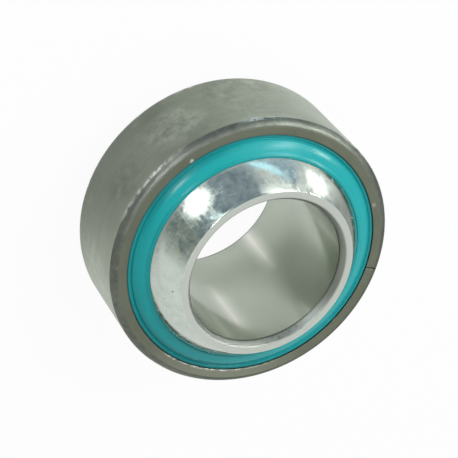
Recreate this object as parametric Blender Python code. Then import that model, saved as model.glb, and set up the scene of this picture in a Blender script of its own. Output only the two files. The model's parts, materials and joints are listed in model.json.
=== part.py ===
"""Sealed spherical plain bearing with a wide ball ring, standing on one face of that ring.

The inner ring is a ball with its poles cut off and a shaft bore through it. The outer ring was turned in
one piece with a hollow spherical seat, then cracked through at one place, so that it could be sprung open
over the ball. A woven sliding liner is bonded in its seat, and a lip seal is snapped into each end.

Units are metres. The origin is the centre of the ball, which every piece shares, and +Z runs up the bore.
The outer ring, its liner and its seals lean by REST_TILT, as such a bearing does when it is put down.
"""

import math

import bmesh
import bpy
from mathutils import Matrix, Vector

# Inner ring
BORE_DIAMETER = 0.030
INNER_WIDTH = 0.032
FACE_LAND = 0.00136
BORE_CHAMFER_RADIAL = 0.00085
BORE_CHAMFER_AXIAL = 0.0012
RIM_BREAK = 0.00015

# Outer ring
OUTER_WIDTH = 0.020
OUTER_WALL = 0.0029
OUTER_CHAMFER_RADIAL = 0.0013
OUTER_CHAMFER_AXIAL = 0.0012
CHAMFER_BULGE = 0.00018
POCKET_DEPTH = 0.0024
POCKET_SHOULDER = 0.0011
EDGE_BREAK = 0.00015
UNDERCUT_DEPTH = 0.0005
UNDERCUT_HEIGHT = 0.0009
UNDERCUT_RAMP = 0.0003

# Crack through the outer ring, and the lean of the ring at rest
CRACK_ANGLE = math.radians(123.2)
CRACK_WIDTH = 0.0002
CRACK_WANDER = 0.00008
CRACK_RADIAL_WAVE = 0.0031
CRACK_AXIAL_WAVE = 0.0095
REST_TILT = math.radians(3.8)

# Sliding liner
LINER_THICKNESS = 0.0005
LINER_SETBACK = 0.0004

# Lip seals
SEAL_SINK = 0.00012
BEAD_HEIGHT = 0.0005
RIB_WIDTH = 0.0006
GROOVE_WIDTH = 0.0003
GROOVE_DEPTH = 0.00035
LIP_RISE = 0.00136
LIP_TIP_HEIGHT = 0.00042
LIP_LAND = 0.0008
LIP_RELIEF = 0.00025
LIP_CROWN = 0.0003

# Clearance between pieces that bear on each other
FIT_GAP = 0.0003

# Facets
TURN_STEPS = 72
BALL_STEPS = 16
SEAT_STEPS = 6
CHAMFER_STEPS = 3
OUTSIDE_STEPS = 4
LIP_STEPS = 4
SMOOTH_UP_TO = math.radians(22)

bore_radius = BORE_DIAMETER / 2
inner_half = INNER_WIDTH / 2
outer_half = OUTER_WIDTH / 2

# The ball runs through the outer rims of both faces, so their radius and the width set its size
face_radius = bore_radius + BORE_CHAMFER_RADIAL + FACE_LAND
ball_radius = math.hypot(face_radius, inner_half)
liner_inside = ball_radius + FIT_GAP
liner_outside = liner_inside + LINER_THICKNESS
seat_radius = liner_outside + FIT_GAP
outer_radius = seat_radius + OUTER_WALL

# Each end of the outer ring is bored out for its seal, down to a shoulder above the seat
shoulder_height = outer_half - POCKET_DEPTH
seat_mouth = math.sqrt(seat_radius**2 - shoulder_height**2)
pocket_radius = seat_mouth + POCKET_SHOULDER
undercut_radius = pocket_radius + UNDERCUT_DEPTH


def arc(radius, start, end, steps):
    """Points (r, z) round the ball's centre, from one latitude to another."""
    turns = [start + (end - start) * i / steps for i in range(steps + 1)]
    return [(radius * math.cos(a), radius * math.sin(a)) for a in turns]


def crowned(first, last, crown, steps):
    """Points from first to last on a shallow curve that stands out by crown at its middle."""
    a, b = Vector(first), Vector(last)
    along = b - a
    outward = Vector((-along.y, along.x)).normalized()
    if outward.dot(a + b) < 0:
        outward = -outward
    shares = [i / steps for i in range(steps + 1)]
    return [tuple(a + along * t + outward * (4 * crown * t * (1 - t))) for t in shares]


def below(points):
    """The same points under the midplane, in the order that carries on round the section."""
    return [(r, -z) for r, z in reversed(points)]


def inner_ring_section():
    end = [
        (bore_radius, inner_half - BORE_CHAMFER_AXIAL),
        (bore_radius + BORE_CHAMFER_RADIAL, inner_half),
        (face_radius - RIM_BREAK, inner_half),
    ]
    rim = math.asin((inner_half - RIM_BREAK) / ball_radius)
    ball = arc(ball_radius, rim, -rim, BALL_STEPS)
    return end + ball + below(end)


def outer_ring_section():
    flank = outer_half - OUTER_CHAMFER_AXIAL
    chamfer = crowned(
        (outer_radius, flank),
        (outer_radius - OUTER_CHAMFER_RADIAL, outer_half),
        CHAMFER_BULGE,
        CHAMFER_STEPS,
    )
    undercut_top = shoulder_height + UNDERCUT_HEIGHT
    pocket = [
        (pocket_radius + EDGE_BREAK, outer_half),
        (pocket_radius, outer_half - EDGE_BREAK),
        (pocket_radius, undercut_top),
        (undercut_radius, undercut_top - UNDERCUT_RAMP),
        (undercut_radius, shoulder_height),
    ]
    end = chamfer + pocket
    mouth = math.asin(shoulder_height / seat_radius)
    seat = arc(seat_radius, mouth, -mouth, SEAT_STEPS)
    levels = [flank * (2 * i / OUTSIDE_STEPS - 1) for i in range(1, OUTSIDE_STEPS)]
    outside = [(outer_radius, z) for z in levels]
    return end + seat + below(end) + outside


def liner_section():
    half = shoulder_height - LINER_SETBACK
    inside = math.asin(half / liner_inside)
    outside = math.asin(half / liner_outside)
    sliding_face = arc(liner_inside, inside, -inside, SEAT_STEPS)
    bonded_face = arc(liner_outside, -outside, outside, SEAT_STEPS)
    return sliding_face + bonded_face


def seal_section():
    """The upper seal: a rim that fills the pocket, a rib and a groove, and a lip that leans on the ball."""
    rim_top = outer_half - SEAL_SINK
    rim_foot = shoulder_height + FIT_GAP
    rim_radius = pocket_radius - FIT_GAP
    bead_radius = undercut_radius - FIT_GAP
    bead_top = rim_foot + BEAD_HEIGHT
    rim = [
        (rim_radius - EDGE_BREAK, rim_top),
        (rim_radius, rim_top - EDGE_BREAK),
        (rim_radius, bead_top),
        (bead_radius, bead_top - UNDERCUT_RAMP),
        (bead_radius, rim_foot),
    ]

    contact_radius = ball_radius + FIT_GAP
    contact_height = outer_half + LIP_RISE
    contact = math.asin(contact_height / contact_radius)
    land_start = contact - LIP_LAND / contact_radius
    back_radius = contact_radius + LIP_RELIEF
    foot = math.asin(rim_foot / back_radius)
    back_end = land_start - LIP_RELIEF / contact_radius
    underside = arc(back_radius, foot, back_end, LIP_STEPS)
    land = arc(contact_radius, land_start, contact, 1)

    tip = (contact_radius * math.cos(contact), contact_height + LIP_TIP_HEIGHT)
    rib_inside = rim_radius - RIB_WIDTH
    groove_inside = rib_inside - GROOVE_WIDTH
    groove_floor = rim_top - GROOVE_DEPTH
    lip_top = crowned(tip, (groove_inside, rim_top), LIP_CROWN, LIP_STEPS)
    groove = [
        (groove_inside, groove_floor),
        (rib_inside, groove_floor),
        (rib_inside, rim_top),
    ]
    return rim + underside + land + lip_top + groove


def crack_offset(radius, height):
    """How far along the ring the crack strays from a straight cut, at a place on its face."""
    across = math.sin(2 * math.pi * radius / CRACK_RADIAL_WAVE)
    upwards = math.sin(2 * math.pi * height / CRACK_AXIAL_WAVE)
    return CRACK_WANDER * (across + upwards)


def finished(name, bm, material):
    bmesh.ops.recalc_face_normals(bm, faces=bm.faces)
    mesh = bpy.data.meshes.new(name)
    bm.to_mesh(mesh)
    bm.free()
    mesh.materials.append(material)
    mesh.shade_smooth()
    mesh.set_sharp_from_angle(angle=SMOOTH_UP_TO)
    return placed(name, mesh)


def placed(name, mesh):
    obj = bpy.data.objects.new(name, mesh)
    bpy.context.scene.collection.objects.link(obj)
    return obj


def turned(name, section, material):
    """A full ring, turned about Z from its section."""
    bm = bmesh.new()
    ring = [bm.verts.new((r, 0, z)) for r, z in section]
    edges = [bm.edges.new(pair) for pair in zip(ring, ring[1:] + ring[:1])]
    bmesh.ops.spin(
        bm,
        geom=ring + edges,
        cent=(0, 0, 0),
        axis=(0, 0, 1),
        angle=2 * math.pi,
        steps=TURN_STEPS,
        use_merge=True,
    )
    return finished(name, bm, material)


def turned_and_cracked(name, section, material):
    """A ring turned about Z that stops short of closing, with both faces of the crack uneven alike."""
    gap = CRACK_WIDTH / outer_radius
    start = Matrix.Rotation(CRACK_ANGLE + gap / 2, 3, "Z")
    bm = bmesh.new()
    first = [bm.verts.new(start @ Vector((r, 0, z))) for r, z in section]
    made = bmesh.ops.spin(
        bm,
        geom=[bm.faces.new(first)],
        cent=(0, 0, 0),
        axis=(0, 0, 1),
        angle=2 * math.pi - gap,
        steps=TURN_STEPS,
        use_merge=False,
    )
    last = [v for v in made["geom_last"] if isinstance(v, bmesh.types.BMVert)]
    for vert in first + last:
        radius = math.hypot(vert.co.x, vert.co.y)
        turn = crack_offset(radius, vert.co.z) / radius
        vert.co = Matrix.Rotation(turn, 3, "Z") @ vert.co
    return finished(name, bm, material)


def surface(name, colour, metallic, roughness):
    material = bpy.data.materials.new(name)
    material.use_nodes = True
    shader = material.node_tree.nodes["Principled BSDF"]
    shader.inputs["Base Color"].default_value = (*colour, 1)
    shader.inputs["Metallic"].default_value = metallic
    shader.inputs["Roughness"].default_value = roughness
    return material


for existing in list(bpy.data.objects):
    bpy.data.objects.remove(existing, do_unlink=True)

bearing_steel = surface("bearing_steel", (0.33, 0.35, 0.33), 1.0, 0.42)
chromed_steel = surface("chromed_steel", (0.72, 0.74, 0.75), 1.0, 0.12)
seal_rubber = surface("seal_rubber", (0.02, 0.40, 0.41), 0.0, 0.38)
liner_fabric = surface("liner_fabric", (0.30, 0.24, 0.13), 0.0, 0.75)

inner_ring = turned("inner_ring", inner_ring_section(), chromed_steel)

# What leans and turns on the ball hangs from one empty at the ball's centre
outer_axis = placed("outer_axis", None)
outer_axis.rotation_euler = (REST_TILT, 0, 0)
sliding_liner = turned("sliding_liner", liner_section(), liner_fabric)
outer_ring = turned_and_cracked("outer_ring", outer_ring_section(), bearing_steel)
front_seal = turned("front_seal", seal_section(), seal_rubber)
rear_seal = placed("rear_seal", front_seal.data)
rear_seal.rotation_euler = (math.pi, 0, 0)
for piece in (sliding_liner, outer_ring, front_seal, rear_seal):
    piece.parent = outer_axis
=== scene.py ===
"""Looks of a sealed spherical plain bearing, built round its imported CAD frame.

Units are metres, in the frame's own place: the ball's centre is the origin and +Z runs up the bore.
Every piece is turned, so each one starts as half of its section and is spun about its own axis.
"""

import json
import math

import bmesh
import bpy
from mathutils import Matrix, Vector


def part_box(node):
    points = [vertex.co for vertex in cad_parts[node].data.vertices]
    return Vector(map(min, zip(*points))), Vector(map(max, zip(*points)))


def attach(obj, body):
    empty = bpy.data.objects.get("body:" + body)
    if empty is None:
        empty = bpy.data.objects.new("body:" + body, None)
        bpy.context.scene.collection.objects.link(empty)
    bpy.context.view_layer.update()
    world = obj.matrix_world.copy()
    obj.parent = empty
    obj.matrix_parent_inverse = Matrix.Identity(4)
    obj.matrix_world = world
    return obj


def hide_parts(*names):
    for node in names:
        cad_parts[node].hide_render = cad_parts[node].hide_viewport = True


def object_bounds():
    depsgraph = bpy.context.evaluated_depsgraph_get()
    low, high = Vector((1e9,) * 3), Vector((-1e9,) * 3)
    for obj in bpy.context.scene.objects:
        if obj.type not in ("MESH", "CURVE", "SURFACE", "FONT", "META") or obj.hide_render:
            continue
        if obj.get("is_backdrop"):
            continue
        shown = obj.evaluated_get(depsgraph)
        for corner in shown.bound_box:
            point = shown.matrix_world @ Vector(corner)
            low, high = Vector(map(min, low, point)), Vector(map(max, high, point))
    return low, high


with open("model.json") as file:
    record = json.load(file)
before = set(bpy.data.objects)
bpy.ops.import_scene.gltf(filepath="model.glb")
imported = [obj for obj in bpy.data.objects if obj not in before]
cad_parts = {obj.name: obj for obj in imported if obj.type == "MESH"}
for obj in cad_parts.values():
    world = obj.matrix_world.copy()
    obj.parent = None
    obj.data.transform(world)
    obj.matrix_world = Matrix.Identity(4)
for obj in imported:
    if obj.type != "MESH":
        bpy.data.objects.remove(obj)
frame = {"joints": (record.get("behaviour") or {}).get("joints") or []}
cad_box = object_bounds()


# Inner ring
# A ball of bearing steel with its poles cut off, bored through for the shaft and plated with hard
# chrome. The ball is polished until it mirrors, the end faces and the bore are ground, and the
# mouths of the bore are chamfered.

BORE_RADIUS = 0.015
BORE_CHAMFER_RADIAL = 0.00085
BORE_CHAMFER_AXIAL = 0.0012
CHAMFER_ROUNDING = 0.00028
RIM_ROUNDING = 0.00016
CORNER_STEPS = 5
BALL_STEPS = 72
TURN_STEPS = 288

CHROME_DARK = (0.465, 0.525, 0.47)
CHROME_PALE = (0.565, 0.622, 0.565)
CHROME_WORN = (0.72, 0.77, 0.72)
CHAMFER_DARK = (0.345, 0.37, 0.335)
CHAMFER_PALE = (0.425, 0.455, 0.415)
CHAMFER_PAINTED_SHADE = (0.165, 0.17, 0.135)
CHAMFER_PAINTED_SHEEN = (0.62, 0.66, 0.60)
GROUND_DARK = (0.455, 0.49, 0.445)
GROUND_PALE = (0.555, 0.595, 0.54)
BORE_DARK = (0.445, 0.49, 0.42)
BORE_PALE = (0.545, 0.59, 0.515)
STREAK_HIGHLIGHT = (0.93, 0.93, 0.86)
DING_BROWN = (0.12, 0.115, 0.10)
PIT_BLACK = (0.03, 0.025, 0.02)

POLISH_RELIEF = 0.0000004
FACE_RELIEF = 0.000004
BORE_RELIEF = 0.000005
PIT = (0.01433, -0.01145, 0.0147)
PIT_SIZE = 0.0002
DINGED_SIDE = math.radians(66)

# The cosine to a side's middle from which a place lies fully on that side
FULL_SIDE = 0.97

# The tilt and turn of each lot of hairlines, and how many fit in a metre across and along them
HAIRLINES = ((0.0, 0.2), (0.7, 1.1), (1.4, 1.5), (-0.8, 2.0))
HAIRLINE_SHEETS = (2600, 110, 110)

# Painted highlight streaks down the bore wall, where lamps' highlights are drawn out along the
# ground steel: angle, low end, high end, half width and strength
HIGHLIGHT_STREAKS = (
    (math.radians(91.2), -0.0200, -0.0030, 0.0030, 1.0),
    (math.radians(41.5), -0.0030, 0.0110, 0.0034, 0.65),
    (math.radians(90.4), 0.0130, 0.0180, 0.0018, 0.9),
)
STREAK_FADE = 0.003

# Sides of the mouth's chamfer with painted shade, and one with a painted sheen: angle, cosine at
# their edge, share and colour
CHAMFER_SHADE_AND_SHEEN_SIDES = (
    (math.radians(135), 0.75, 0.6, CHAMFER_PAINTED_SHADE),
    (math.radians(44), 0.75, 0.55, CHAMFER_PAINTED_SHADE),
    (math.radians(-38), 0.7, 0.6, CHAMFER_PAINTED_SHEEN),
)

inner_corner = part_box("inner_ring")[1]
ball_radius = inner_corner.x
inner_half = inner_corner.z
face_radius = math.sqrt(ball_radius**2 - inner_half**2)
rim_latitude = math.asin(inner_half / ball_radius)


def extend(bm, start, points):
    """Edges from start through a section's next points (radius, height), and their vertices."""
    made = []
    for radius, height in points:
        made.append(bm.verts.new((radius, 0, height)))
        bm.edges.new((start, made[-1]))
        start = made[-1]
    return made


def swing(bm, start, angle, steps):
    """An arc of edges from start round the ball's centre, down the section, and its last vertex."""
    arc = bmesh.ops.spin(
        bm, geom=[start], cent=(0, 0, 0), axis=(0, 1, 0), angle=angle, steps=steps
    )
    return arc["geom_last"][0]


def round_off(bm, corners, size):
    bmesh.ops.bevel(
        bm,
        geom=corners,
        offset=size,
        segments=CORNER_STEPS,
        profile=0.5,
        affect="VERTICES",
        material=-1,
    )


def full_turn(bm):
    bmesh.ops.spin(
        bm,
        geom=bm.verts[:] + bm.edges[:],
        cent=(0, 0, 0),
        axis=(0, 0, 1),
        angle=2 * math.pi,
        steps=TURN_STEPS,
        use_merge=True,
    )


def mesh_of(name, bm, materials):
    mesh = bpy.data.meshes.new(name)
    bm.to_mesh(mesh)
    bm.free()
    for material in materials:
        mesh.materials.append(material)
    return mesh


def put_in_scene(name, data):
    made = bpy.data.objects.new(name, data)
    bpy.context.scene.collection.objects.link(made)
    return made


def finished(name, bm, materials):
    """A smooth-shaded piece, whose flat faces still shade flat up to their rounded edges."""
    bmesh.ops.recalc_face_normals(bm, faces=bm.faces)
    mesh = mesh_of(name, bm, materials)
    mesh.shade_smooth()
    piece = put_in_scene(name, mesh)
    piece.modifiers.new("flat faces lead the normals", "WEIGHTED_NORMAL").keep_sharp = True
    return piece


def around_axis(angle, radius, height):
    """The point at an angle round the axis, a distance from it and a height."""
    return (radius * math.cos(angle), radius * math.sin(angle), height)


def node(tree, kind, inputs=None, **settings):
    """A shader node, its inputs given as values or as other nodes' outputs."""
    made = tree.nodes.new("ShaderNode" + kind)
    for name, value in settings.items():
        setattr(made, name, value)
    for socket, value in (inputs or {}).items():
        if isinstance(value, bpy.types.NodeSocket):
            tree.links.new(value, made.inputs[socket])
        else:
            made.inputs[socket].default_value = value
    return made


def place(tree, lean=0.0):
    """Object coordinates, turned so that Z is the axis of a piece that leans about X."""
    at = node(tree, "TexCoord").outputs["Object"]
    return node(tree, "Mapping", {"Vector": at, "Rotation": (-lean, 0, 0)}).outputs[0]


def noise(tree, vector, scale, detail, roughness):
    inputs = {"Vector": vector, "Scale": scale, "Detail": detail, "Roughness": roughness}
    return node(tree, "TexNoise", inputs).outputs[0]


def fit(tree, value, low, high, to_low=0.0, to_high=1.0):
    """A value's range from low to high stretched to another range, and held at its ends."""
    inputs = {0: value, 1: low, 2: high, 3: to_low, 4: to_high}
    return node(tree, "MapRange", inputs).outputs[0]


def spread(tree, pattern, low, high):
    """A noise pattern, whose values keep near its middle, spread over a range."""
    return fit(tree, pattern, 0.3, 0.7, low, high)


def maths(tree, operation, a, b=0.0):
    return node(tree, "Math", {0: a, 1: b}, operation=operation).outputs[0]


def mixed(tree, share, first, second, most=1.0):
    """A mix of two colours or colour outputs, in which the second takes at most a given share."""
    if most != 1.0:
        share = maths(tree, "MULTIPLY", share, most)
    ends = [c if isinstance(c, bpy.types.NodeSocket) else (*c, 1) for c in (first, second)]
    inputs = {0: share, 6: ends[0], 7: ends[1]}
    return node(tree, "Mix", inputs, data_type="RGBA").outputs[2]


def split(tree, vector):
    return node(tree, "SeparateXYZ", {0: vector}).outputs


def scaled(tree, vector, factors):
    return node(tree, "VectorMath", {0: vector, 1: factors}, operation="MULTIPLY").outputs[0]


def length(tree, vector):
    return node(tree, "VectorMath", {0: vector}, operation="LENGTH").outputs[1]


def away_from(tree, vector, point):
    return node(tree, "VectorMath", {0: vector, 1: point}, operation="DISTANCE").outputs[1]


def dot(tree, vector, direction):
    inputs = {0: vector, 1: direction}
    return node(tree, "VectorMath", inputs, operation="DOT_PRODUCT").outputs[1]


def unit(tree, vector):
    return node(tree, "VectorMath", {0: vector}, operation="NORMALIZE").outputs[0]


def off_axis(tree, at):
    """Where a place lies across the axis, whatever its height."""
    return scaled(tree, at, (1, 1, 0))


def turning_rings(tree, at, across=9000.0, along=130.0):
    """The fine rings of turning and grinding round an axis, which fade in and out on their way."""
    parts = split(tree, at)
    inputs = {
        "X": maths(tree, "MULTIPLY", length(tree, off_axis(tree, at)), across),
        "Y": maths(tree, "MULTIPLY", parts["Z"], across),
        "Z": maths(tree, "MULTIPLY", parts["X"], along),
    }
    rings = node(tree, "CombineXYZ", inputs).outputs[0]
    return noise(tree, rings, 1.0, 4.0, 0.6)


def hairlines(tree, at, tilt, turn):
    """Scratches where thin sheets, tilted about X and turned about Z, cut the surface."""
    turned = node(tree, "Mapping", {"Vector": at, "Rotation": (tilt, 0, turn)}).outputs[0]
    sheets = scaled(tree, turned, HAIRLINE_SHEETS)
    return fit(tree, noise(tree, sheets, 1.0, 2.0, 0.5), 0.58, 0.7)


def spot(tree, at, middle, size):
    """A small round mark that fades out between half its size and all of it."""
    return fit(tree, away_from(tree, at, middle), size / 2, size, 1.0, 0.0)


def on_side(tree, at, angle, low, high):
    """How far a place lies on one side of the ring, from 0 at one cosine to 1 at another."""
    outwards = unit(tree, off_axis(tree, at))
    return fit(tree, dot(tree, outwards, around_axis(angle, 1, 0)), low, high)


def bumped(tree, height, depth):
    return node(tree, "Bump", {"Height": height, "Distance": depth}).outputs[0]


def finish_of(name, **sockets):
    """A material with one Principled shader, its plain values set, and the tree for the rest."""
    material = bpy.data.materials.new(name)
    material.use_nodes = True
    shader = material.node_tree.nodes["Principled BSDF"]
    for socket, value in sockets.items():
        shader.inputs[socket.replace("_", " ")].default_value = value
    return material, material.node_tree, shader


def link(tree, shader, **sources):
    for socket, source in sources.items():
        tree.links.new(source, shader.inputs[socket.replace("_", " ")])


hard_chrome, tree, shader = finish_of("hard_chrome", Metallic=1.0)
at = place(tree)
haze = noise(tree, at, 540.0, 5.0, 0.7)
worn = fit(tree, turning_rings(tree, at, 1500.0, 20.0), 0.52, 0.75, 0.0, 0.8)
for tilt, turn in HAIRLINES:
    worn = maths(tree, "MAXIMUM", worn, hairlines(tree, at, tilt, turn))
dull = fit(tree, haze, 0.4, 0.64, 0.045, 0.22)
dull = maths(tree, "ADD", dull, maths(tree, "MULTIPLY", worn, 0.1))
plating = mixed(tree, fit(tree, haze, 0.35, 0.65), CHROME_DARK, CHROME_PALE)
plating = mixed(tree, worn, plating, CHROME_WORN, 0.22)
link(
    tree,
    shader,
    Base_Color=mixed(tree, spot(tree, at, PIT, PIT_SIZE), plating, PIT_BLACK),
    Roughness=dull,
    Normal=bumped(tree, turning_rings(tree, at), POLISH_RELIEF),
)

ground_face, tree, shader = finish_of("ground_face", Metallic=1.0)
at = place(tree)
rings = turning_rings(tree, at)
height = maths(tree, "ABSOLUTE", split(tree, at)["Z"])
flat = fit(tree, height, inner_half - CHAMFER_ROUNDING / 3, inner_half)
chamfered = mixed(tree, rings, CHAMFER_DARK, CHAMFER_PALE)
# Painted shade on two sides of the chamfer, and a painted sheen on a third
for angle, edge, share, colour in CHAMFER_SHADE_AND_SHEEN_SIDES:
    here = on_side(tree, at, angle, edge, FULL_SIDE)
    chamfered = mixed(tree, here, chamfered, colour, share)
dings = fit(tree, noise(tree, at, 1300.0, 3.0, 0.6), 0.54, 0.64)
dings = maths(tree, "MULTIPLY", dings, on_side(tree, at, DINGED_SIDE, 0.92, 0.99))
chamfered = mixed(tree, dings, chamfered, DING_BROWN, 0.5)
rough = maths(tree, "ADD", spread(tree, rings, 0.24, 0.36), fit(tree, flat, 0, 1, 0.14, 0))
link(
    tree,
    shader,
    Base_Color=mixed(tree, flat, chamfered, mixed(tree, rings, GROUND_DARK, GROUND_PALE)),
    Roughness=rough,
    Normal=bumped(tree, rings, FACE_RELIEF),
)

ground_bore, tree, shader = finish_of(
    "ground_bore", Metallic=1.0, Anisotropic=0.5, Anisotropic_Rotation=0.25
)
at = place(tree)
rings = turning_rings(tree, at, 7000.0, 60.0)
steel = mixed(tree, noise(tree, at, 90.0, 4.0, 0.55), BORE_DARK, BORE_PALE)
height = split(tree, at)["Z"]
# Painted highlights: bright streaks down the bore wall, mixed into its colour
paler_marks = 0.0
for angle, low, high, width, strength in HIGHLIGHT_STREAKS:
    away = away_from(tree, off_axis(tree, at), around_axis(angle, BORE_RADIUS, 0))
    across = maths(tree, "POWER", fit(tree, away, 0, width, 1.0, 0.0), 2.0)
    up = fit(tree, height, high - STREAK_FADE, high + STREAK_FADE, 1.0, 0.0)
    down = fit(tree, height, low - STREAK_FADE, low + STREAK_FADE)
    streak = maths(tree, "MULTIPLY", across, maths(tree, "MULTIPLY", up, down))
    paler_marks = maths(tree, "MAXIMUM", paler_marks, maths(tree, "MULTIPLY", streak, strength))
link(
    tree,
    shader,
    Base_Color=mixed(tree, paler_marks, steel, STREAK_HIGHLIGHT),
    Roughness=spread(tree, rings, 0.14, 0.19),
    Normal=bumped(tree, rings, BORE_RELIEF),
)

bm = bmesh.new()
rim_top = bm.verts.new((face_radius, 0, inner_half))
rim_bottom = swing(bm, rim_top, 2 * rim_latitude, BALL_STEPS)
mouth = [
    (BORE_RADIUS + BORE_CHAMFER_RADIAL, inner_half),
    (BORE_RADIUS, inner_half - BORE_CHAMFER_AXIAL),
]
upper = extend(bm, rim_top, mouth)
lower = extend(bm, rim_bottom, [(r, -z) for r, z in mouth])
bm.edges.new((upper[-1], lower[-1]))
round_off(bm, upper + lower, CHAMFER_ROUNDING)
round_off(bm, [rim_top, rim_bottom], RIM_ROUNDING)
full_turn(bm)
for face in bm.faces:
    middle = face.calc_center_median()
    radius = math.hypot(middle.x, middle.y)
    if radius < BORE_RADIUS + CHAMFER_ROUNDING / 32:
        face.material_index = 2
    elif radius < face_radius - RIM_ROUNDING:
        face.material_index = 1
inner_ring = finished("chromed_ball_ring", bm, [hard_chrome, ground_face, ground_bore])
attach(inner_ring, "inner")
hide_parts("inner_ring")


# Outer ring
# One turned ring of bearing steel with a hollow spherical seat, cracked through at one place so
# that it could be sprung open over the ball. Its outside is ground, and its faces are as turned
# and dulled by heat.

OUTER_WIDTH = 0.020
OUTER_WALL = 0.0029
OUTER_CHAMFER_RADIAL = 0.0013
OUTER_CHAMFER_AXIAL = 0.0012
CHAMFER_BULGE = 0.00018
CHAMFER_STEPS = 8
POCKET_DEPTH = 0.0024
POCKET_SHOULDER = 0.0011
UNDERCUT_DEPTH = 0.0005
UNDERCUT_HEIGHT = 0.0009
UNDERCUT_RAMP = 0.0003
EDGE_ROUNDING = 0.00012
SEAT_STEPS = 40
SECTION_SPACING = 0.0005
BALL_TO_SEAT = 0.0011
CRACK_ANGLE = math.radians(123.2)
CRACK_WIDTH = 0.0002
CRACK_WANDER = 0.00008
CRACK_RADIAL_WAVE = 0.0031
CRACK_AXIAL_WAVE = 0.0095
CRACK_EDGE_ROUNDING = 0.00007

OUTSIDE_DARK = (0.265, 0.297, 0.24)
OUTSIDE_PALE = (0.40, 0.44, 0.36)
OUTSIDE_RUBBED = (0.46, 0.50, 0.41)
DARK_SMUDGE_SHADE = (0.16, 0.18, 0.14)
PALE_SMUDGE_SHEEN = (0.66, 0.71, 0.60)
SCALE_DARK = (0.094, 0.105, 0.087)
SCALE_PALE = (0.170, 0.189, 0.158)
SCALE_SHADE = (0.066, 0.088, 0.048)
SCALE_SHEEN = (0.40, 0.41, 0.37)
FACE_DARK = (0.115, 0.125, 0.09)
FACE_PALE = (0.25, 0.27, 0.21)
FACE_LIGHTER = (0.34, 0.36, 0.29)
FACE_BARE_AND_HIGHLIGHT = (0.66, 0.68, 0.6)
HIGHLIGHT_STEEL = (0.72, 0.73, 0.68)

GRINDING_RELIEF = 0.000006
TURNING_RELIEF = 0.000012
NICK_ANGLE = math.radians(-100.35)
NICK_RADIUS = 0.02484
NICK_SIZE = 0.00055
SPECK_ANGLE = math.radians(154.7)
SPECK_RADIUS = 0.0251
HIGHLIT_SIDE = math.radians(-88)
LIGHTER_SIDE = math.radians(38)
SCALE_SHADED_SIDE = math.radians(80)
CORNER_REACH = 0.0006
CORNER_RARITY = 0.55
POCKET_EDGE_REACH = 0.0004
POCKET_EDGE_RARITY = 0.52

# Patches on the outside, partly smudges and partly painted sheen and painted shade where its
# reflection runs lighter or darker: angle, height, size and strength, which is below 0 where they
# are dark
SMUDGES_SHEEN_AND_SHADE = (
    (math.radians(-117), -0.0005, 0.0060, 0.2),
    (math.radians(-103), 0.0010, 0.0070, 0.6),
    (math.radians(-145), 0.0010, 0.0075, 0.12),
    (math.radians(-141), -0.0075, 0.0016, 0.8),
    (math.radians(-30), 0.0, 0.0090, 0.35),
    (math.radians(-76), 0.0030, 0.0060, -0.4),
    (math.radians(-133), -0.0020, 0.0120, -0.5),
)

outer_half = OUTER_WIDTH / 2
seat_radius = ball_radius + BALL_TO_SEAT
outer_radius = seat_radius + OUTER_WALL
flank_height = outer_half - OUTER_CHAMFER_AXIAL
shoulder_height = outer_half - POCKET_DEPTH
seat_mouth = math.sqrt(seat_radius**2 - shoulder_height**2)
pocket_radius = seat_mouth + POCKET_SHOULDER
turn_axis = Vector(next(j["axis"] for j in frame["joints"] if j["name"] == "outer_ring_turn"))
lean = Vector((0, 0, 1)).rotation_difference(turn_axis).to_matrix()
lean_angle = math.atan2(-turn_axis.y, turn_axis.z)


def edge_highlight_patches(tree, at, radius, height, reach, rarity, side):
    """Broken patches of painted highlight along a turned edge, most often on one side."""
    across = maths(tree, "SUBTRACT", length(tree, off_axis(tree, at)), radius)
    up = maths(tree, "SUBTRACT", maths(tree, "ABSOLUTE", split(tree, at)["Z"]), height)
    away = length(tree, node(tree, "CombineXYZ", {0: across, 1: up}).outputs[0])
    often = maths(tree, "ADD", noise(tree, at, 90.0, 2.0, 0.5), side)
    fine = fit(tree, noise(tree, at, 900.0, 4.0, 0.7), 0.42, 0.6)
    patches = maths(tree, "MULTIPLY", fit(tree, often, rarity, rarity + 0.1), fine)
    return maths(tree, "MULTIPLY", patches, fit(tree, away, reach / 3, reach, 1.0, 0.0))


def corner_highlight_patches(tree, at):
    """The patches of painted highlight where the outside meets the chamfer, on both of their
    materials.
    """
    worst = maths(tree, "MULTIPLY", on_side(tree, at, HIGHLIT_SIDE, 0.8, 1.0), 0.1)
    return edge_highlight_patches(tree, at, outer_radius, flank_height, CORNER_REACH, CORNER_RARITY, worst)


ground_outside, tree, shader = finish_of(
    "ground_outside", Metallic=1.0, Anisotropic=0.5, Anisotropic_Rotation=0.25
)
at = place(tree, lean_angle)
rings = turning_rings(tree, at, 5000.0, 70.0)
clouds = noise(tree, at, 75.0, 6.0, 0.6)
bands = noise(tree, scaled(tree, at, (1, 1, 0.4)), 32.0, 2.0, 0.5)
lines = fit(tree, turning_rings(tree, at, 2200.0, 26.0), 0.35, 0.65, -0.08, 0.08)
tone = fit(tree, bands, 0.35, 0.65, 0.0, 0.5)
for part in (spread(tree, clouds, 0.0, 0.5), lines):
    tone = maths(tree, "ADD", tone, part)
steel = mixed(tree, tone, OUTSIDE_DARK, OUTSIDE_PALE)
paler_marks = fit(tree, noise(tree, at, 190.0, 4.0, 0.65), 0.56, 0.72)
steel = mixed(tree, paler_marks, steel, OUTSIDE_RUBBED, 0.5)
ragged = fit(tree, noise(tree, at, 420.0, 4.0, 0.65), 0.35, 0.65)
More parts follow.
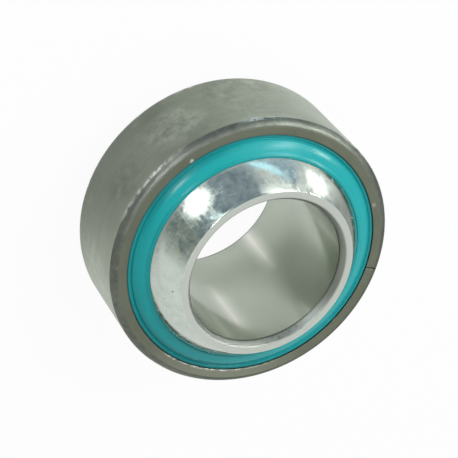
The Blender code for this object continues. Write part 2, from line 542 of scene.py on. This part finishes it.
# Smudges, with painted sheen and painted shade among them
for angle, high, size, strength in SMUDGES_SHEEN_AND_SHADE:
    smudge_and_sheen = spot(tree, at, around_axis(angle, outer_radius, high), size)
    smudge_and_sheen = maths(tree, "MULTIPLY", smudge_and_sheen, ragged)
    colour = PALE_SMUDGE_SHEEN if strength > 0 else DARK_SMUDGE_SHADE
    steel = mixed(tree, smudge_and_sheen, steel, colour, abs(strength))
# The outside's colour carries patches of painted highlight along its corner with the chamfer
link(
    tree,
    shader,
    Base_Color=mixed(tree, corner_highlight_patches(tree, at), steel, HIGHLIGHT_STEEL),
    Roughness=spread(tree, rings, 0.34, 0.46),
    Normal=bumped(tree, rings, GRINDING_RELIEF),
)

chamfer_with_painted_light, tree, shader = finish_of("chamfer_with_painted_light", Metallic=1.0)
at = place(tree, lean_angle)
rings = turning_rings(tree, at, 6000.0, 160.0)
patchy = fit(tree, noise(tree, at, 380.0, 6.0, 0.75), 0.36, 0.68)
scale = mixed(tree, patchy, SCALE_DARK, SCALE_PALE)
# Painted shade on one side of the chamfer's scale, a painted sheen on another, and painted
# highlight patches along its corner
scale = mixed(tree, on_side(tree, at, SCALE_SHADED_SIDE, 0.3, 0.8), scale, SCALE_SHADE, 0.65)
scale = mixed(tree, on_side(tree, at, HIGHLIT_SIDE, 0.8, 1.0), scale, SCALE_SHEEN, 0.22)
link(
    tree,
    shader,
    Base_Color=mixed(tree, corner_highlight_patches(tree, at), scale, HIGHLIGHT_STEEL),
    Roughness=spread(tree, rings, 0.36, 0.48),
    Normal=bumped(tree, rings, GRINDING_RELIEF),
)

turned_face, tree, shader = finish_of("turned_face", Metallic=1.0)
at = place(tree, lean_angle)
rings = turning_rings(tree, at, 5200.0, 90.0)
clouds = noise(tree, at, 120.0, 5.0, 0.6)
scale = mixed(tree, maths(tree, "MULTIPLY", clouds, rings), FACE_DARK, FACE_PALE)
# The face is lighter towards one side
lighter_side = on_side(tree, at, LIGHTER_SIDE, 0.75, 1.0)
scale = mixed(tree, lighter_side, scale, FACE_LIGHTER, 0.35)
worst = fit(tree, lighter_side, 0.0, 1.0, -0.2, 0.2)
# Painted highlight in broken patches along the pocket's edge, most on that side, with a nick and a
# speck of bared steel
bared_and_highlit = edge_highlight_patches(
    tree, at, pocket_radius, outer_half, POCKET_EDGE_REACH, POCKET_EDGE_RARITY, worst
)
nick = spot(tree, at, around_axis(NICK_ANGLE, NICK_RADIUS, outer_half), NICK_SIZE)
ragged = fit(tree, noise(tree, at, 3200.0, 3.0, 0.6), 0.4, 0.6)
speck = spot(tree, at, around_axis(SPECK_ANGLE, SPECK_RADIUS, outer_half), NICK_SIZE)
for mark, strength in ((nick, ragged), (speck, 0.25)):
    bared_and_highlit = maths(tree, "MAXIMUM", bared_and_highlit, maths(tree, "MULTIPLY", mark, strength))
link(
    tree,
    shader,
    Base_Color=mixed(tree, bared_and_highlit, scale, FACE_BARE_AND_HIGHLIGHT),
    Roughness=spread(tree, rings, 0.42, 0.58),
    Normal=bumped(tree, maths(tree, "SUBTRACT", rings, bared_and_highlit), TURNING_RELIEF),
)


def crack_offset(radius, height):
    """How far along the ring the crack strays from a straight cut."""
    across = math.sin(2 * math.pi * radius / CRACK_RADIAL_WAVE)
    upwards = math.sin(2 * math.pi * height / CRACK_AXIAL_WAVE)
    return CRACK_WANDER * (across + upwards)


def bulged(first, last, bulge, steps):
    """Points between two on a shallow curve that stands out by bulge at its middle."""
    a, b = Vector(first), Vector(last)
    side = Vector((a.y - b.y, b.x - a.x)).normalized()
    if side.dot(a + b) < 0:
        side = -side
    shares = [i / steps for i in range(1, steps)]
    return [a + (b - a) * t + side * (4 * bulge * t * (1 - t)) for t in shares]


def turn_about_centre(bm, matrix):
    bmesh.ops.rotate(bm, verts=bm.verts, cent=(0, 0, 0), matrix=matrix)


undercut_top = shoulder_height + UNDERCUT_HEIGHT
undercut_radius = pocket_radius + UNDERCUT_DEPTH
flank_end = (outer_radius, flank_height)
face_edge = (outer_radius - OUTER_CHAMFER_RADIAL, outer_half)
pocket = [
    (undercut_radius, shoulder_height),
    (undercut_radius, undercut_top - UNDERCUT_RAMP),
    (pocket_radius, undercut_top),
    (pocket_radius, outer_half),
]
chamfer = [face_edge, *bulged(face_edge, flank_end, CHAMFER_BULGE, CHAMFER_STEPS), flank_end]

bm = bmesh.new()
seat_top = bm.verts.new((seat_mouth, 0, shoulder_height))
seat_bottom = swing(bm, seat_top, 2 * math.asin(shoulder_height / seat_radius), SEAT_STEPS)
upper = extend(bm, seat_top, pocket + chamfer)
lower = extend(bm, seat_bottom, [(r, -z) for r, z in pocket + chamfer])
bm.edges.new((upper[-1], lower[-1]))
pocket_edge = len(pocket) - 1
round_off(bm, [side[i] for side in (upper, lower) for i in (pocket_edge, -1)], EDGE_ROUNDING)
for edge in [e for e in bm.edges if e.calc_length() > SECTION_SPACING]:
    cuts = int(edge.calc_length() / SECTION_SPACING)
    bmesh.ops.subdivide_edges(bm, edges=[edge], cuts=cuts)
gap = CRACK_WIDTH / outer_radius
bmesh.ops.contextual_create(bm, geom=bm.edges[:])
turn_about_centre(bm, Matrix.Rotation(CRACK_ANGLE + gap / 2, 3, "Z"))
first = bm.verts[:]
ring = bmesh.ops.spin(
    bm,
    geom=bm.faces[:],
    cent=(0, 0, 0),
    axis=(0, 0, 1),
    angle=2 * math.pi - gap,
    steps=TURN_STEPS,
    use_merge=False,
)
last = [v for v in ring["geom_last"] if isinstance(v, bmesh.types.BMVert)]
for vert in first + last:
    radius = math.hypot(vert.co.x, vert.co.y)
    stray = Matrix.Rotation(crack_offset(radius, vert.co.z) / radius, 3, "Z")
    vert.co = stray @ vert.co

# Only the two faces of the crack, which are whole sections, have more than four corners
crack_faces = [f for f in bm.faces if len(f.verts) > 4]
bmesh.ops.bevel(
    bm,
    geom=list({e for f in crack_faces for e in f.edges}),
    offset=CRACK_EDGE_ROUNDING,
    segments=2,
    profile=0.5,
    affect="EDGES",
    material=-1,
    clamp_overlap=True,
)
for face in bm.faces:
    middle = face.calc_center_median()
    radius = math.hypot(middle.x, middle.y)
    height = abs(middle.z)
    if radius > face_edge[0] and height > flank_height + EDGE_ROUNDING / 2:
        face.material_index = 1
    elif radius < outer_radius - EDGE_ROUNDING and height < outer_half + EDGE_ROUNDING:
        face.material_index = 2
turn_about_centre(bm, lean)
outer_ring = finished("cracked_outer_ring", bm, [ground_outside, chamfer_with_painted_light, turned_face])
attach(outer_ring, "outer")
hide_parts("outer_ring")


# Sliding liner
# A woven cloth of slippery and strong threads, soaked in resin and bonded in the outer ring's seat.
# The ball slides on it dry, so the bearing needs no grease.

LINER_GAP = 0.00005
LINER_SETBACK = 0.0004
THREAD_SPACING = 0.0005
THREAD_RELIEF = 0.00004
THREAD_DARK = (0.21, 0.16, 0.07)
THREAD_PALE = (0.42, 0.35, 0.20)
THREAD_FUZZ = (0.48, 0.44, 0.34)

woven_liner, tree, shader = finish_of("woven_liner", Roughness=0.72)
at = place(tree, lean_angle)
parts = split(tree, at)
around = maths(tree, "ARCTAN2", parts["Y"], parts["X"])
waves = []
for run, spacing in ((around, THREAD_SPACING / seat_radius), (parts["Z"], THREAD_SPACING)):
    waves.append(maths(tree, "SINE", maths(tree, "MULTIPLY", run, math.pi / spacing)))
weave = maths(tree, "MULTIPLY", *waves)
fuzz = noise(tree, at, 2500.0, 4.0, 0.6)
cloth = mixed(tree, fit(tree, weave, -0.5, 0.5), THREAD_DARK, THREAD_PALE)
threads = maths(tree, "ADD", maths(tree, "ABSOLUTE", weave), fuzz)
link(
    tree,
    shader,
    Base_Color=mixed(tree, fuzz, cloth, THREAD_FUZZ, 0.5),
    Normal=bumped(tree, threads, THREAD_RELIEF),
)

liner_half = shoulder_height - LINER_SETBACK
bm = bmesh.new()
edges_of_cloth = []
for radius in (ball_radius + LINER_GAP, seat_radius - LINER_GAP):
    top = bm.verts.new((math.sqrt(radius**2 - liner_half**2), 0, liner_half))
    bottom = swing(bm, top, 2 * math.asin(liner_half / radius), SEAT_STEPS)
    edges_of_cloth.append((top, bottom))
for pair in zip(*edges_of_cloth):
    bm.edges.new(pair)
full_turn(bm)
turn_about_centre(bm, lean)
liner = finished("woven_sliding_liner", bm, [woven_liner])
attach(liner, "liner")
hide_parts("sliding_liner")


# Lip seals
# Two rings moulded in tough blue-green polyurethane. The bead on the rim of each snaps into the
# groove of its pocket, and the lip springs against the ball to keep dirt out of the liner.

SEAL_SINK = 0.0002
SEAL_FIT = 0.00004
SEAL_FOOT_FIT = 0.00005
BEAD_HEIGHT = 0.0005
RIB_WIDTH = 0.0006
GROOVE_WIDTH = 0.0003
GROOVE_DEPTH = 0.00022
LIP_CONTACT_GAP = 0.00002
LIP_RISE = 0.00136
NOSE_WIDTH = 0.0008
NOSE_RISE = -0.00035
NOSE_BULGE = 0.0001
NOSE_STEPS = 8
LIP_LAND = 0.0008
LIP_RELIEF = 0.00025
LIP_CROWN = 0.00013
LIP_STEPS = 14
RIB_ROUNDING = 0.00018
BEAD_ROUNDING = 0.00008

TEAL_DARK = (0.009, 0.405, 0.42)
TEAL_PALE = (0.014, 0.495, 0.51)
TEAL_SHADE_NEAR = (0.006, 0.22, 0.23)
TEAL_DARKENED = (0.005, 0.17, 0.185)
LIP_SHADE = (0.004, 0.13, 0.14)
RIM_SHADE = (0.003, 0.07, 0.08)
MOULD_RELIEF = 0.0000008
LIP_SHADE_WIDTH = 0.0008
DARK_BAND_WIDTH = 0.0009
SEAL_SHADED_SIDE = math.radians(-12)

# Sides where a painted shadow darkens the seal's outer band, inwards from the rim: angle, cosine at
# their edge and share
SHADOW_SIDES = (
    (math.radians(-93), 0.84, 0.36),
    (math.radians(20), 0.6, 0.46),
)

# Each seal's name, the CAD piece it stands for, and its turn from the front end
SEALS = (
    ("front_lip_seal", "front_seal", 0),
    ("rear_lip_seal", "rear_seal", math.pi),
)

contact_height = outer_half + LIP_RISE


def near_rim(tree, from_axis, start, end):
    """How near a place is to the seal's rim, between two depths in widths of the darker band."""
    first = pocket_radius - start * DARK_BAND_WIDTH
    return fit(tree, from_axis, first, pocket_radius - end * DARK_BAND_WIDTH)


moulded_seal, tree, shader = finish_of(
    "moulded_seal",
    Specular_IOR_Level=0.22,
    Subsurface_Weight=0.12,
    Subsurface_Radius=(0.0004, 0.0012, 0.0012),
    Subsurface_Scale=0.6,
)
at = place(tree, lean_angle)
from_axis = length(tree, off_axis(tree, at))
flow = noise(tree, at, 110.0, 4.0, 0.55)
grain = noise(tree, at, 2200.0, 3.0, 0.6)
rings = turning_rings(tree, at, 3500.0, 50.0)
teal = mixed(tree, flow, TEAL_DARK, TEAL_PALE)
# Painted shadow over the outer band of the seal, on two sides
shadowed_band = near_rim(tree, from_axis, 2.1, 1.6)
for angle, edge, share in SHADOW_SIDES:
    here = on_side(tree, at, angle, edge, FULL_SIDE)
    here = maths(tree, "MULTIPLY", shadowed_band, here)
    teal = mixed(tree, here, teal, TEAL_DARKENED, share)
# Painted shade on one side of the seal
teal = mixed(tree, on_side(tree, at, SEAL_SHADED_SIDE, 0.3, 0.8), teal, TEAL_SHADE_NEAR, 0.26)
lip_radius = math.sqrt(ball_radius**2 - contact_height**2)
at_lip = fit(tree, from_axis, lip_radius, lip_radius + LIP_SHADE_WIDTH, 1.0, 0.0)
teal = mixed(tree, at_lip, teal, LIP_SHADE, 0.45)
# The seal darkens in patches towards its rim
rim_darkening = near_rim(tree, from_axis, 1, 1 / 3)
rim_darkening = maths(tree, "MULTIPLY", rim_darkening, spread(tree, flow, 0.25, 0.7))
teal = mixed(tree, rim_darkening, teal, TEAL_DARKENED)
link(
    tree,
    shader,
    Base_Color=mixed(tree, near_rim(tree, from_axis, 1 / 2, 1 / 4), teal, RIM_SHADE, 0.45),
    Roughness=spread(tree, grain, 0.2, 0.26),
    Normal=bumped(tree, maths(tree, "ADD", grain, rings), MOULD_RELIEF),
)

rim_top = outer_half - SEAL_SINK
rim_foot = shoulder_height + SEAL_FOOT_FIT
rim_radius = pocket_radius - SEAL_FIT
bead_radius = undercut_radius - SEAL_FIT
bead_top = rim_foot + BEAD_HEIGHT
rib_inside = rim_radius - RIB_WIDTH
groove_inside = rib_inside - GROOVE_WIDTH
groove_floor = rim_top - GROOVE_DEPTH
contact_radius = ball_radius + LIP_CONTACT_GAP
contact = math.asin(contact_height / contact_radius)
land_start = contact - LIP_LAND / contact_radius
land_corner = (contact_radius * math.cos(land_start), contact_radius * math.sin(land_start))
back_radius = contact_radius + LIP_RELIEF
back_foot = math.asin(rim_foot / back_radius)
back_end = land_start - LIP_RELIEF / contact_radius
lip_edge = (contact_radius * math.cos(contact), contact_height)
nose_end = (lip_edge[0] + NOSE_WIDTH, contact_height + NOSE_RISE)
lip_foot = (groove_inside, rim_top)
nose = [*bulged(lip_edge, nose_end, NOSE_BULGE, NOSE_STEPS), nose_end]
lip_top = bulged(nose_end, lip_foot, LIP_CROWN, LIP_STEPS)
rib = [
    lip_foot,
    (groove_inside, groove_floor),
    (rib_inside, groove_floor),
    (rib_inside, rim_top),
    (rim_radius, rim_top),
]
bead = [
    (rim_radius, bead_top),
    (bead_radius, bead_top - UNDERCUT_RAMP),
    (bead_radius, rim_foot),
]

for name, carried, turn in SEALS:
    bm = bmesh.new()
    foot = bm.verts.new((back_radius * math.cos(back_foot), 0, rim_foot))
    back = swing(bm, foot, back_foot - back_end, LIP_STEPS)
    land = extend(bm, back, [land_corner])
    lip = swing(bm, land[0], land_start - contact, LIP_STEPS)
    made = extend(bm, lip, nose + lip_top)
    rib_corners = extend(bm, made[-1], rib)
    bead_corners = extend(bm, rib_corners[-1], bead)
    bm.edges.new((bead_corners[-1], foot))
    round_off(bm, rib_corners, RIB_ROUNDING)
    round_off(bm, bead_corners, BEAD_ROUNDING)
    full_turn(bm)
    turn_about_centre(bm, lean @ Matrix.Rotation(turn, 3, "X"))
    seal = finished(name, bm, [moulded_seal])
    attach(seal, "outer")
    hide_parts(carried)


# Floor
# A pale sweep of paper that the bearing stands on. To the lens and in reflections much of its white
# is its own, and the rest comes from the lamps, so that the bearing's soft shadow stays on it.

FLOOR_SIZE = 4.0
WHITE_TO_LENS = 0.95
WHITE_IN_METAL = 0.7
BLUE_SHEEN = (0.37, 0.55, 0.70)
GREEN_SHEEN = (0.93, 1.0, 0.89)

# Azimuths towards which the mirrored floor is dim, bluish or dark, and the radii where that starts
DIM_WAY = 10
BLUE_WAY = -68
DARK_WAY = -142
NEAR = 0.03
FAR = 0.06

# Painted shade and light on the floor under the bore, seen only in reflections, which its ground
# wall mirrors: where each fades, and how much
RIGHT_FROM = (-0.003, 0.003)
RIGHT_END = (0.005, 0.011)
RIGHT_DIMMING = 0.5
RIDGE_Y = 0.0092
RIDGE_WIDTH = 0.005
RIDGE_END = (-0.004, -0.001)
RIDGE_GAIN = 0.12
FRONT_END = (-0.0145, -0.0085)
FRONT_GAIN = 0.45
SLOPE = (-0.015, 0.004)
SLOPE_DIMMING = (-0.32, -0.1)


def towards(azimuth, elevation):
    """The direction at degrees of azimuth, from -Y towards +X, and of elevation."""
    a, e = math.radians(azimuth), math.radians(elevation)
    return Vector((math.sin(a) * math.cos(e), -math.cos(a) * math.cos(e), math.sin(e)))


def lying(tree, at, azimuth):
    """How far the floor at a place lies towards an azimuth: a cosine, but weaker when near."""
    reach = maths(tree, "MAXIMUM", length(tree, off_axis(tree, at)), NEAR)
    return maths(tree, "DIVIDE", dot(tree, at, towards(azimuth, 0)), reach)


def glowing(tree, colour, strength):
    return node(tree, "Emission", {"Color": colour, "Strength": strength}).outputs[0]


def blended(tree, share, first, second):
    return node(tree, "MixShader", {0: share, 1: first, 2: second}).outputs[0]


def cover(tree, surface):
    """Gives a material this shader as its surface."""
    tree.links.new(surface, tree.nodes["Material Output"].inputs["Surface"])


def staged(name, bm, material):
    """An object of the studio, which isn't part of the bearing."""
    made = put_in_scene(name, mesh_of(name, bm, [material]))
    made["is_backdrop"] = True
    return made


floor_paper, tree, shader = finish_of("floor_paper", Base_Color=(0.9, 0.9, 0.9, 1), Roughness=0.9)
path = node(tree, "LightPath").outputs
mirrored = maths(tree, "MAXIMUM", path["Is Glossy Ray"], path["Is Transmission Ray"])
to_lens = maths(tree, "MULTIPLY", path["Is Camera Ray"], WHITE_TO_LENS)
own = maths(tree, "MAXIMUM", maths(tree, "MULTIPLY", mirrored, WHITE_IN_METAL), to_lens)
at = place(tree)
from_axis = length(tree, off_axis(tree, at))
far = fit(tree, from_axis, 0.8 * FAR, 1.2 * FAR)
behind = fit(tree, lying(tree, at, DIM_WAY), -0.9, -0.6, 0.35, 0.0)
dark = fit(tree, lying(tree, at, DARK_WAY), 0.92, 0.98, 0.0, 0.7)
dimmed = maths(tree, "MULTIPLY", maths(tree, "MAXIMUM", behind, dark), far)
fall = fit(tree, lying(tree, at, DIM_WAY), 0.35, 0.95, 1.08, 0.42)
fall = maths(tree, "MULTIPLY", fall, maths(tree, "SUBTRACT", 1.0, dimmed))

parts = split(tree, at)
x, y = parts["X"], parts["Y"]
inside = fit(tree, from_axis, BORE_RADIUS, 1.15 * BORE_RADIUS, 1.0, 0.0)
right = fit(tree, x, *RIGHT_FROM)
right = maths(tree, "MULTIPLY", right, fit(tree, y, *RIGHT_END, 1.0, 0.0))
off_ridge = maths(tree, "ABSOLUTE", maths(tree, "SUBTRACT", y, RIDGE_Y))
ridge = fit(tree, off_ridge, 0.0, RIDGE_WIDTH, RIDGE_GAIN, 0.0)
ridge = maths(tree, "MULTIPLY", ridge, fit(tree, x, *RIDGE_END, 1.0, 0.0))
under_bore = maths(tree, "MULTIPLY", right, -RIGHT_DIMMING)
front = fit(tree, y, *FRONT_END, FRONT_GAIN, 0.0)
for tone in (ridge, front, fit(tree, y, *SLOPE, *SLOPE_DIMMING)):
    under_bore = maths(tree, "ADD", under_bore, tone)
under_bore = maths(tree, "ADD", maths(tree, "MULTIPLY", under_bore, inside), 1.0)
fall = maths(tree, "MULTIPLY", fall, under_bore)

blue = maths(tree, "MULTIPLY", fit(tree, lying(tree, at, BLUE_WAY), 0.87, 0.965), far)
tint = mixed(tree, blue, (1, 1, 1), BLUE_SHEEN)
tint = mixed(tree, maths(tree, "MULTIPLY", right, inside), tint, GREEN_SHEEN)
tint = node(tree, "VectorMath", {0: tint, "Scale": fall}, operation="SCALE").outputs[0]
white = glowing(tree, mixed(tree, mirrored, (1, 1, 1), tint), 1.0)
cover(tree, blended(tree, own, shader.outputs[0], white))

bm = bmesh.new()
bmesh.ops.create_grid(bm, x_segments=1, y_segments=1, size=FLOOR_SIZE / 2)
bmesh.ops.translate(bm, verts=bm.verts, vec=(0, 0, cad_box[0].z))
staged("floor", bm, floor_paper)


# Studio
# A pale tent, dim on the camera's side, and glow cards hung in it are what the metal mirrors. Two
# soft boxes light the bearing. Azimuths run from -Y towards +X and are degrees, as elevations are.

ROOM_LEVEL = 0.37

# Watts on each square metre of a soft box that is as bright as white
WHITE_WATTS = 4

TENT_RADIUS = 1.2
TENT_STEPS = 48
DIM_SIDE = (-3, 24)
DIM_CORNER = (-135, 0)
BLUE_PATCH = (-72, -2)
BROWN_SIDE = (50, 20)
CARD_CORE = 0.5
CARD_MARGIN = 1.3
RIM_RIPPLES = 16
WHITE_CLOTH = (1.0, 1.0, 1.0)
GREY_CLOTH = (0.6, 0.62, 0.66)
BLUE_CLOTH = (0.37, 0.52, 0.66)
DIM_DARK = (0.17, 0.23, 0.285)
DIM_PALE = (0.47, 0.54, 0.62)
BROWN_DARK = (0.19, 0.25, 0.28)
BROWN_PALE = (0.70, 0.63, 0.43)


def hung(name, what, azimuth, elevation, distance, turn=0):
    """A lamp or a card that hangs in a direction from the ball and faces it."""
    made = put_in_scene(name, what)
    made.location = towards(azimuth, elevation) * distance
    facing_ball = towards(azimuth, elevation).to_track_quat("Z", "Y").to_matrix()
    turned = facing_ball @ Matrix.Rotation(math.radians(turn), 3, "Z")
    made.rotation_euler = turned.to_euler()
    made.visible_camera = False
    return made


def soft_box(name, azimuth, elevation, distance, width, height, level):
    """A lamp that isn't mirrored, and whose level is its brightness beside white's 1."""
    light = bpy.data.lights.new(name, "AREA")
    light.shape = "RECTANGLE"
    light.size = width
    light.size_y = height
    light.energy = WHITE_WATTS * width * height * level
    hung(name, light, azimuth, elevation, distance).visible_glossy = False


def glow_card(name, direction, distance, width, height, level, colour=(1, 1, 1), turn=0):
    """An oval card that glows, sized in degrees, with a soft and ragged rim."""
    half_width = distance * math.tan(math.radians(width / 2))
    half_height = distance * math.tan(math.radians(height / 2))
    material, tree, _ = finish_of(name)
    on_card = scaled(tree, place(tree), (1 / half_width, 1 / half_height, 0))
    ragged = spread(tree, noise(tree, place(tree), RIM_RIPPLES / distance, 6.0, 0.7), -0.45, 0.45)
    out = maths(tree, "ADD", length(tree, on_card), ragged)
    share = fit(tree, out, CARD_CORE, 1.0, 1.0, 0.0)
    clear = node(tree, "BsdfTransparent").outputs[0]
    cover(tree, blended(tree, share, clear, glowing(tree, (*colour, 1), level)))
    bm = bmesh.new()
    bmesh.ops.create_grid(bm, x_segments=1, y_segments=1, size=CARD_MARGIN)
    bmesh.ops.scale(bm, verts=bm.verts, vec=(half_width, half_height, 1))
    card = hung(name, mesh_of(name, bm, [material]), *direction, distance, turn)
    card.visible_diffuse = card.visible_shadow = card.visible_transmission = False
    card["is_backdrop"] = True


soft_box("key_light", -68, 50, 0.7, 0.4, 0.35, 4.4)
soft_box("top_light", -150, 72, 0.9, 0.6, 0.6, 0.55)

# Each card's azimuth and elevation, its distance, its width and height and its level
glow_card("key_card", (-102, 57), 0.6, 22, 18, 4.0)
glow_card("front_card", (3, 10), 0.55, 31, 27, 3.6)
glow_card("left_card", (-106, 0), 0.24, 23, 29, 3.2)
glow_card("window_card", (-72, 28), 0.5, 36, 13, 2.6)
glow_card("tall_card", (-87, 41), 0.5, 12, 30, 20.0)
glow_card("cool_card", (-62, 3), 0.5, 44, 9, 1.8, (0.60, 0.90, 1.05), turn=-24)
glow_card("cool_window_card", (-1, 31), 0.5, 17, 5, 2.6, (0.8, 0.95, 1.0), turn=-35)
glow_card("spot_card", (-110, 29), 0.5, 8, 8, 70.0)
glow_card("lens_side_card", (-7, 42), 0.7, 22, 16, 2.0)
glow_card("small_card", (6, 54), 0.7, 9, 9, 45.0)

tent_cloth, tree, shader = finish_of("tent_cloth")
way = unit(tree, node(tree, "TexCoord").outputs["Object"])
blur = spread(tree, noise(tree, way, 3.0, 4.0, 0.6), -0.06, 0.06)


def facing(direction, edge, full):
    """How far the tent's cloth lies towards a direction, from 0 at one cosine to 1 at another."""
    cosine = maths(tree, "ADD", dot(tree, way, towards(*direction)), blur)
    return fit(tree, cosine, edge, full)


patches = fit(tree, noise(tree, way, 13.0, 5.0, 0.7), 0.48, 0.66)
brown = mixed(tree, patches, BROWN_DARK, BROWN_PALE)
cloudy = fit(tree, noise(tree, way, 15.0, 6.0, 0.75), 0.36, 0.62)
dim = mixed(tree, cloudy, DIM_DARK, DIM_PALE)
dim = mixed(tree, facing(BROWN_SIDE, 0.75, 0.95), dim, brown)
cloth = mixed(tree, facing(DIM_SIDE, 0.5, 0.72), WHITE_CLOTH, dim)
cloth = mixed(tree, facing(DIM_CORNER, 0.9, 0.97), cloth, GREY_CLOTH)
cloth = mixed(tree, facing(BLUE_PATCH, 0.945, 0.98), cloth, BLUE_CLOTH)
cover(tree, glowing(tree, cloth, 1.0))
bm = bmesh.new()
bmesh.ops.create_uvsphere(
    bm, u_segments=TENT_STEPS, v_segments=TENT_STEPS // 2, radius=TENT_RADIUS
)
tent = staged("tent", bm, tent_cloth)
tent.visible_camera = tent.visible_diffuse = tent.visible_shadow = False
tent.visible_transmission = False

world = bpy.data.worlds.new("pale_room")
world.use_nodes = True
tree = world.node_tree
path = node(tree, "LightPath").outputs
seen = maths(tree, "MAXIMUM", path["Is Camera Ray"], path["Is Glossy Ray"])
seen = maths(tree, "MAXIMUM", seen, path["Is Transmission Ray"])
background = tree.nodes["Background"]
background.inputs["Color"].default_value = (1, 1, 1, 1)
tree.links.new(fit(tree, seen, 0, 1, ROOM_LEVEL, 1.0), background.inputs["Strength"])
bpy.context.scene.world = world
bpy.context.scene.view_settings.view_transform = "Standard"


# Camera
# It looks down on the bearing at the photograph's angle, rolled until the bore's axis points to
# the lower right, from as near as the photograph's perspective asks for.

VIEW_AZIMUTH = -5.13
VIEW_ELEVATION = 50.41
VIEW_ROLL = math.radians(140.72)
VIEW_DISTANCE = 0.35902
BALL_CENTRE_IN_VIEW = Vector((0.00075, -0.00037, 0))
LENS = 149.41
SENSOR = 36.0

camera_data = bpy.data.cameras.new("camera")
camera_data.lens = LENS
camera_data.sensor_width = SENSOR
camera_data.clip_start = 0.01
camera = put_in_scene("camera", camera_data)
upright = towards(VIEW_AZIMUTH, VIEW_ELEVATION).to_track_quat("Z", "Y").to_matrix()
rolled = upright @ Matrix.Rotation(VIEW_ROLL, 3, "Z")
away = Vector((0, 0, VIEW_DISTANCE)) - BALL_CENTRE_IN_VIEW
camera.matrix_world = Matrix.Translation(rolled @ away) @ rolled.to_4x4()
bpy.context.scene.camera = camera


low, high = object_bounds()
